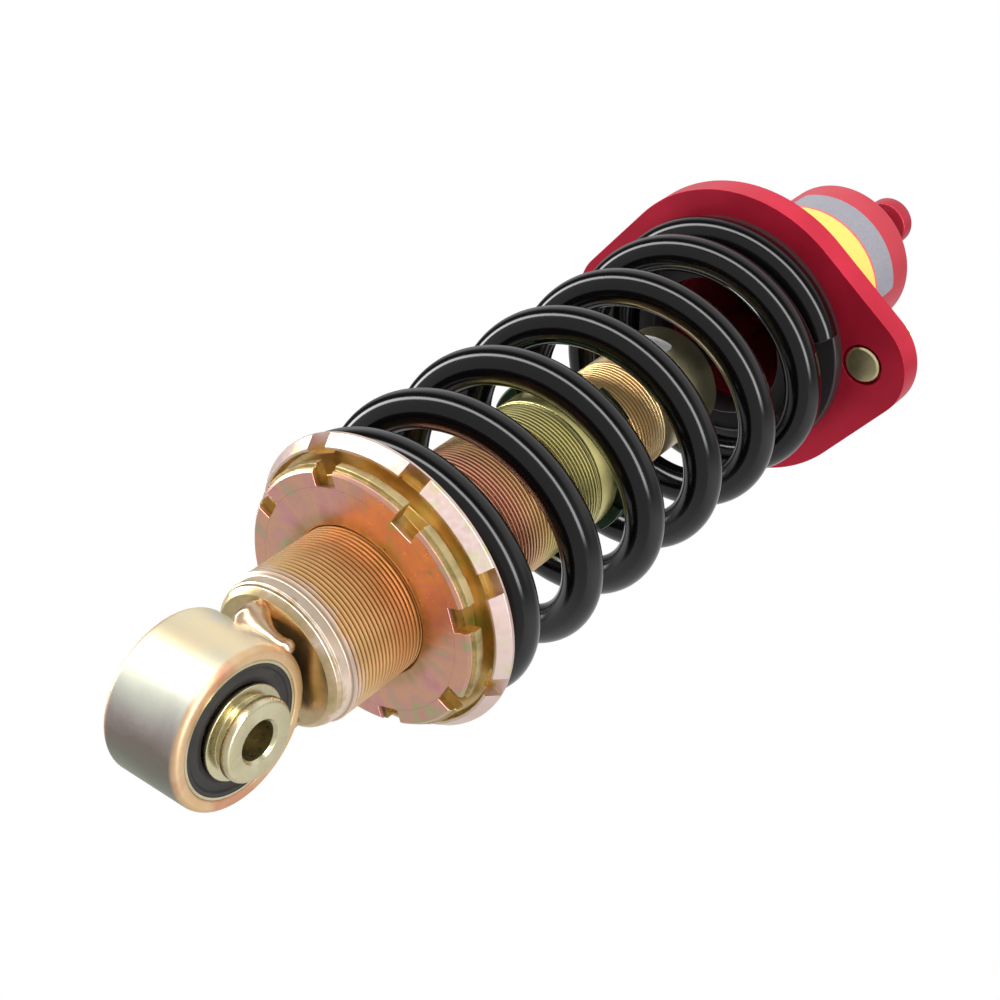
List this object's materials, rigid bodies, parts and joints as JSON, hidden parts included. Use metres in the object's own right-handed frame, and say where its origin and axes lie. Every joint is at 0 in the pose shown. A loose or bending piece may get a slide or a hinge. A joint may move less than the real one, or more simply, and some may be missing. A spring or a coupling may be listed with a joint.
{
  "type": "adjustable coilover damper",
  "caption": "Rear coilover: coil spring over a threaded, length-adjustable monotube, with a rubber-bushed lower eye and a red two-stud top mount with a damping knob.",
  "frame": {"origin": "centre of the bolt bore in the lower eye", "axes": "+Z runs along the damper to the top mount; the two studs lie along X; the eye's bolt is 7 degrees from X"},
  "size_m": [0.1406, 0.111, 0.4171],
  "materials": {
    "zinc_steel": "yellow zinc plate, iridescent, with turned grain",
    "zinc_rings": "yellow zinc plate with a pink and green bloom",
    "bush_steel": "pale zinc plate on turned steel",
    "rubber": "matt moulded rubber",
    "seal_rubber": "smooth nitrile rubber",
    "spring_paint": "gloss black powder coat with slight orange peel",
    "black_seat": "satin black coat",
    "red_anodised": "satin red anodising over machined aluminium",
    "chrome_rod": "ground hard chrome",
    "plain_steel": "plain machined steel",
    "inner_aluminium": "machined aluminium",
    "bronze": "sintered bronze and low-friction lining",
    "bump_foam": "matt microcellular foam"
  },
  "bodies": {
    "top_mount": {"mount_flange": "red_anodised", "mount_studs": "zinc_steel", "mount_tower": "red_anodised", "upper_spring_seat": "black_seat", "lower_bushing": "rubber", "lower_washer": "plain_steel", "upper_bushing": "rubber", "upper_washer": "plain_steel", "rod_nut": "plain_steel", "piston_rod": "chrome_rod", "stop_washer": "plain_steel", "compression_shims": "plain_steel", "piston": "inner_aluminium", "piston_band": "bronze", "rebound_shims": "plain_steel", "piston_nut": "plain_steel", "bump_stop": "bump_foam"},
    "adjuster": {"adjuster_knob": "red_anodised", "adjuster_rod": "plain_steel", "knob_grub_screw": "plain_steel"},
    "spring": {"coil_spring": "spring_paint"},
    "perch": {"spring_perch": "zinc_rings"},
    "lock_ring": {"perch_lock_ring": "zinc_rings"},
    "lower_bracket": {"lower_sleeve": "zinc_steel", "lower_eye": "zinc_steel", "eye_weld": "zinc_steel", "bush_shell": "bush_steel", "bush_rubber": "rubber"},
    "eye_bush": {"bush_sleeve": "bush_steel"},
    "body_ring": {"body_lock_ring": "zinc_steel"},
    "damper_body": {"damper_tube": "zinc_steel", "tube_base_cap": "plain_steel", "rod_guide": "inner_aluminium", "guide_bush": "bronze", "guide_oring": "seal_rubber", "rod_seal": "seal_rubber", "gland_nut": "plain_steel", "wiper_seal": "seal_rubber"},
    "gas_piston": {"floating_piston": "inner_aluminium", "floating_piston_ring": "seal_rubber"}
  },
  "joints": [
    {"name": "damper_stroke", "type": "slide", "parent": "top_mount", "child": "spring", "axis": [0, 0, 1], "range_m": [0, 0.055], "stiffness_N_per_m": 50000, "deforming": ["coil_spring"]},
    {"name": "perch_turn", "type": "hinge", "parent": "spring", "child": "perch", "pos_m": [0, 0, 0.0719], "axis": [0, 0, 1], "range_deg": [-2410, 2410]},
    {"name": "lock_ring_turn", "type": "hinge", "parent": "spring", "child": "lock_ring", "pos_m": [0, 0, 0.0655], "axis": [0, 0, 1], "range_deg": [-2410, 2410]},
    {"name": "height_adjust", "type": "slide", "parent": "spring", "child": "lower_bracket", "axis": [0, 0, -1], "range_m": [-0.01, 0.01]},
    {"name": "bush_twist", "type": "hinge", "parent": "lower_bracket", "child": "eye_bush", "pos_m": [0, 0, 0], "axis": [0.9925, 0.1219, 0], "range_deg": [-15, 15], "stiffness_Nm_per_rad": 60},
    {"name": "body_ring_turn", "type": "hinge", "parent": "lower_bracket", "child": "body_ring", "pos_m": [0, 0, 0.1676], "axis": [0, 0, 1], "range_deg": [-2410, 2410]},
    {"name": "body_length", "type": "slide", "parent": "lower_bracket", "child": "damper_body", "axis": [0, 0, 1], "range_m": [-0.01, 0.01]},
    {"name": "gas_piston_travel", "type": "slide", "parent": "damper_body", "child": "gas_piston", "axis": [0, 0, -1], "range_m": [0, 0.0078]},
    {"name": "adjuster_turn", "type": "hinge", "parent": "top_mount", "child": "adjuster", "pos_m": [0, 0, 0.385], "axis": [0, 0, 1], "range_deg": [0, 720]}
  ],
  "couplings": [
    {"joint": "perch_turn", "follows": "height_adjust", "rad_per_m": 4188.8},
    {"joint": "lock_ring_turn", "follows": "height_adjust", "rad_per_m": 4188.8},
    {"joint": "body_ring_turn", "follows": "body_length", "rad_per_m": -4188.8},
    {"joint": "gas_piston_travel", "follows": "damper_stroke", "ratio": 0.1352}
  ]
}
